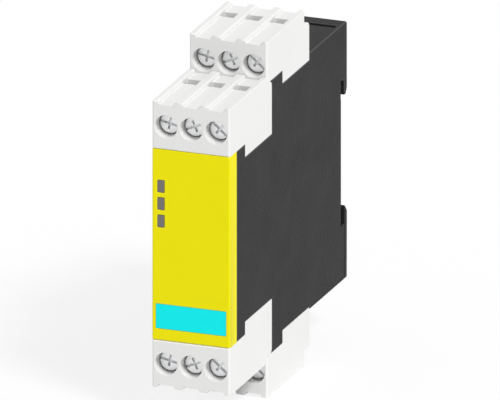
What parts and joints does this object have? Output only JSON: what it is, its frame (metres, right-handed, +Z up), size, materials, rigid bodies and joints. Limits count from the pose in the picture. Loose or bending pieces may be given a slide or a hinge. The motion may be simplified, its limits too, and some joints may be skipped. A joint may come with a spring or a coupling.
{
  "type": "safety relay",
  "caption": "Slim rail-mounted safety relay with a yellow front, status windows, a cyan label strip and plug-in screw terminal blocks above and below.",
  "frame": {"origin": "centre of the flat seat in the rail recess, on its face", "axes": "+Z up along the height, +X across the width, +Y out of the back towards the rail"},
  "size_m": [0.0226, 0.091, 0.1019],
  "materials": {
    "housing": "fine matt moulded texture, anthracite",
    "cover_yellow": "satin moulded plastic, signal yellow",
    "label_cyan": "satin printed strip, cyan",
    "light_guide": "smoky clear moulded comb",
    "terminal_grey": "satin moulded polyamide, light grey",
    "zinc_steel": "zinc plated steel",
    "tinned_copper": "tinned copper alloy",
    "header_black": "matt moulded plastic, black",
    "board_green": "solder mask over glass fibre board",
    "relay_case": "matt moulded case, off white",
    "capacitor_sleeve": "shrunk sleeve, dark",
    "chip_black": "moulded epoxy, black",
    "led_clear": "moulded clear epoxy",
    "spring_steel": "spring steel strip"
  },
  "bodies": {
    "root": {"housing_shell": "housing", "front_cover": "cover_yellow", "label_strip": "label_cyan", "light_guide": "light_guide", "status_leds": "led_clear", "main_board": "board_green", "logic_board": "board_green", "board_link": "header_black", "controller_chips": "chip_black", "capacitors": "capacitor_sleeve", "safety_relay_1": "relay_case", "safety_relay_2": "relay_case", "pins_upper_front": "tinned_copper", "header_upper_front": "header_black", "block_upper_front": "terminal_grey", "contacts_upper_front": "tinned_copper", "pins_upper_rear": "tinned_copper", "header_upper_rear": "header_black", "pins_lower_front": "tinned_copper", "header_lower_front": "header_black", "block_lower_front": "terminal_grey", "contacts_lower_front": "tinned_copper", "pins_lower_rear": "tinned_copper", "header_lower_rear": "header_black"},
    "rail_latch": {"rail_latch": "housing", "latch_spring": "spring_steel"},
    "screw_upper_front_1": {"screw_upper_front_1": "zinc_steel"},
    "cage_upper_front_1": {"cage_upper_front_1": "zinc_steel"},
    "screw_upper_front_2": {"screw_upper_front_2": "zinc_steel"},
    "cage_upper_front_2": {"cage_upper_front_2": "zinc_steel"},
    "screw_upper_front_3": {"screw_upper_front_3": "zinc_steel"},
    "cage_upper_front_3": {"cage_upper_front_3": "zinc_steel"},
    "block_upper_rear": {"block_upper_rear": "terminal_grey", "contacts_upper_rear": "tinned_copper"},
    "screw_upper_rear_1": {"screw_upper_rear_1": "zinc_steel"},
    "cage_upper_rear_1": {"cage_upper_rear_1": "zinc_steel"},
    "screw_upper_rear_2": {"screw_upper_rear_2": "zinc_steel"},
    "cage_upper_rear_2": {"cage_upper_rear_2": "zinc_steel"},
    "screw_upper_rear_3": {"screw_upper_rear_3": "zinc_steel"},
    "cage_upper_rear_3": {"cage_upper_rear_3": "zinc_steel"},
    "screw_lower_front_1": {"screw_lower_front_1": "zinc_steel"},
    "cage_lower_front_1": {"cage_lower_front_1": "zinc_steel"},
    "screw_lower_front_2": {"screw_lower_front_2": "zinc_steel"},
    "cage_lower_front_2": {"cage_lower_front_2": "zinc_steel"},
    "screw_lower_front_3": {"screw_lower_front_3": "zinc_steel"},
    "cage_lower_front_3": {"cage_lower_front_3": "zinc_steel"},
    "block_lower_rear": {"block_lower_rear": "terminal_grey", "contacts_lower_rear": "tinned_copper"},
    "screw_lower_rear_1": {"screw_lower_rear_1": "zinc_steel"},
    "cage_lower_rear_1": {"cage_lower_rear_1": "zinc_steel"},
    "screw_lower_rear_2": {"screw_lower_rear_2": "zinc_steel"},
    "cage_lower_rear_2": {"cage_lower_rear_2": "zinc_steel"},
    "screw_lower_rear_3": {"screw_lower_rear_3": "zinc_steel"},
    "cage_lower_rear_3": {"cage_lower_rear_3": "zinc_steel"}
  },
  "joints": [
    {"name": "rail_latch_slide", "type": "slide", "parent": "root", "child": "rail_latch", "axis": [0, 0, -1], "range_m": [0, 0.0035], "stiffness_N_per_m": 2000, "springref_m": -0.002, "deforming": ["latch_spring"]},
    {"name": "close_cage_upper_front_1", "type": "slide", "parent": "root", "child": "cage_upper_front_1", "axis": [0, -1, 0], "range_m": [0, 0.0035]},
    {"name": "turn_screw_upper_front_1", "type": "hinge", "parent": "root", "child": "screw_upper_front_1", "pos_m": [-0.00725, -0.0762, 0.0332], "axis": [0, 1, 0], "range_deg": [0, 2521]},
    {"name": "close_cage_upper_front_2", "type": "slide", "parent": "root", "child": "cage_upper_front_2", "axis": [0, -1, 0], "range_m": [0, 0.0035]},
    {"name": "turn_screw_upper_front_2", "type": "hinge", "parent": "root", "child": "screw_upper_front_2", "pos_m": [0, -0.0762, 0.0332], "axis": [0, 1, 0], "range_deg": [0, 2521]},
    {"name": "close_cage_upper_front_3", "type": "slide", "parent": "root", "child": "cage_upper_front_3", "axis": [0, -1, 0], "range_m": [0, 0.0035]},
    {"name": "turn_screw_upper_front_3", "type": "hinge", "parent": "root", "child": "screw_upper_front_3", "pos_m": [0.00725, -0.0762, 0.0332], "axis": [0, 1, 0], "range_deg": [0, 2521]},
    {"name": "unplug_upper_rear", "type": "slide", "parent": "root", "child": "block_upper_rear", "axis": [0, 0, 1], "range_m": [0, 0.018]},
    {"name": "close_cage_upper_rear_1", "type": "slide", "parent": "block_upper_rear", "child": "cage_upper_rear_1", "axis": [0, -1, 0], "range_m": [0, 0.0035]},
    {"name": "turn_screw_upper_rear_1", "type": "hinge", "parent": "block_upper_rear", "child": "screw_upper_rear_1", "pos_m": [-0.00725, -0.0472, 0.0431], "axis": [0, 1, 0], "range_deg": [0, 2521]},
    {"name": "close_cage_upper_rear_2", "type": "slide", "parent": "block_upper_rear", "child": "cage_upper_rear_2", "axis": [0, -1, 0], "range_m": [0, 0.0035]},
    {"name": "turn_screw_upper_rear_2", "type": "hinge", "parent": "block_upper_rear", "child": "screw_upper_rear_2", "pos_m": [0, -0.0472, 0.0431], "axis": [0, 1, 0], "range_deg": [0, 2521]},
    {"name": "close_cage_upper_rear_3", "type": "slide", "parent": "block_upper_rear", "child": "cage_upper_rear_3", "axis": [0, -1, 0], "range_m": [0, 0.0035]},
    {"name": "turn_screw_upper_rear_3", "type": "hinge", "parent": "block_upper_rear", "child": "screw_upper_rear_3", "pos_m": [0.00725, -0.0472, 0.0431], "axis": [0, 1, 0], "range_deg": [0, 2521]},
    {"name": "close_cage_lower_front_1", "type": "slide", "parent": "root", "child": "cage_lower_front_1", "axis": [0, -1, 0], "range_m": [0, 0.0035]},
    {"name": "turn_screw_lower_front_1", "type": "hinge", "parent": "root", "child": "screw_lower_front_1", "pos_m": [-0.00725, -0.0762, -0.0349], "axis": [0, 1, 0], "range_deg": [0, 2521]},
    {"name": "close_cage_lower_front_2", "type": "slide", "parent": "root", "child": "cage_lower_front_2", "axis": [0, -1, 0], "range_m": [0, 0.0035]},
    {"name": "turn_screw_lower_front_2", "type": "hinge", "parent": "root", "child": "screw_lower_front_2", "pos_m": [0, -0.0762, -0.0349], "axis": [0, 1, 0], "range_deg": [0, 2521]},
    {"name": "close_cage_lower_front_3", "type": "slide", "parent": "root", "child": "cage_lower_front_3", "axis": [0, -1, 0], "range_m": [0, 0.0035]},
    {"name": "turn_screw_lower_front_3", "type": "hinge", "parent": "root", "child": "screw_lower_front_3", "pos_m": [0.00725, -0.0762, -0.0349], "axis": [0, 1, 0], "range_deg": [0, 2521]},
    {"name": "unplug_lower_rear", "type": "slide", "parent": "root", "child": "block_lower_rear", "axis": [0, 0, -1], "range_m": [0, 0.018]},
    {"name": "close_cage_lower_rear_1", "type": "slide", "parent": "block_lower_rear", "child": "cage_lower_rear_1", "axis": [0, -1, 0], "range_m": [0, 0.0035]},
    {"name": "turn_screw_lower_rear_1", "type": "hinge", "parent": "block_lower_rear", "child": "screw_lower_rear_1", "pos_m": [-0.00725, -0.0472, -0.0448], "axis": [0, 1, 0], "range_deg": [0, 2521]},
    {"name": "close_cage_lower_rear_2", "type": "slide", "parent": "block_lower_rear", "child": "cage_lower_rear_2", "axis": [0, -1, 0], "range_m": [0, 0.0035]},
    {"name": "turn_screw_lower_rear_2", "type": "hinge", "parent": "block_lower_rear", "child": "screw_lower_rear_2", "pos_m": [0, -0.0472, -0.0448], "axis": [0, 1, 0], "range_deg": [0, 2521]},
    {"name": "close_cage_lower_rear_3", "type": "slide", "parent": "block_lower_rear", "child": "cage_lower_rear_3", "axis": [0, -1, 0], "range_m": [0, 0.0035]},
    {"name": "turn_screw_lower_rear_3", "type": "hinge", "parent": "block_lower_rear", "child": "screw_lower_rear_3", "pos_m": [0.00725, -0.0472, -0.0448], "axis": [0, 1, 0], "range_deg": [0, 2521]}
  ],
  "couplings": [
    {"joint": "turn_screw_upper_front_1", "follows": "close_cage_upper_front_1", "rad_per_m": 12566},
    {"joint": "turn_screw_upper_front_2", "follows": "close_cage_upper_front_2", "rad_per_m": 12566},
    {"joint": "turn_screw_upper_front_3", "follows": "close_cage_upper_front_3", "rad_per_m": 12566},
    {"joint": "turn_screw_upper_rear_1", "follows": "close_cage_upper_rear_1", "rad_per_m": 12566},
    {"joint": "turn_screw_upper_rear_2", "follows": "close_cage_upper_rear_2", "rad_per_m": 12566},
    {"joint": "turn_screw_upper_rear_3", "follows": "close_cage_upper_rear_3", "rad_per_m": 12566},
    {"joint": "turn_screw_lower_front_1", "follows": "close_cage_lower_front_1", "rad_per_m": 12566},
    {"joint": "turn_screw_lower_front_2", "follows": "close_cage_lower_front_2", "rad_per_m": 12566},
    {"joint": "turn_screw_lower_front_3", "follows": "close_cage_lower_front_3", "rad_per_m": 12566},
    {"joint": "turn_screw_lower_rear_1", "follows": "close_cage_lower_rear_1", "rad_per_m": 12566},
    {"joint": "turn_screw_lower_rear_2", "follows": "close_cage_lower_rear_2", "rad_per_m": 12566},
    {"joint": "turn_screw_lower_rear_3", "follows": "close_cage_lower_rear_3", "rad_per_m": 12566}
  ]
}
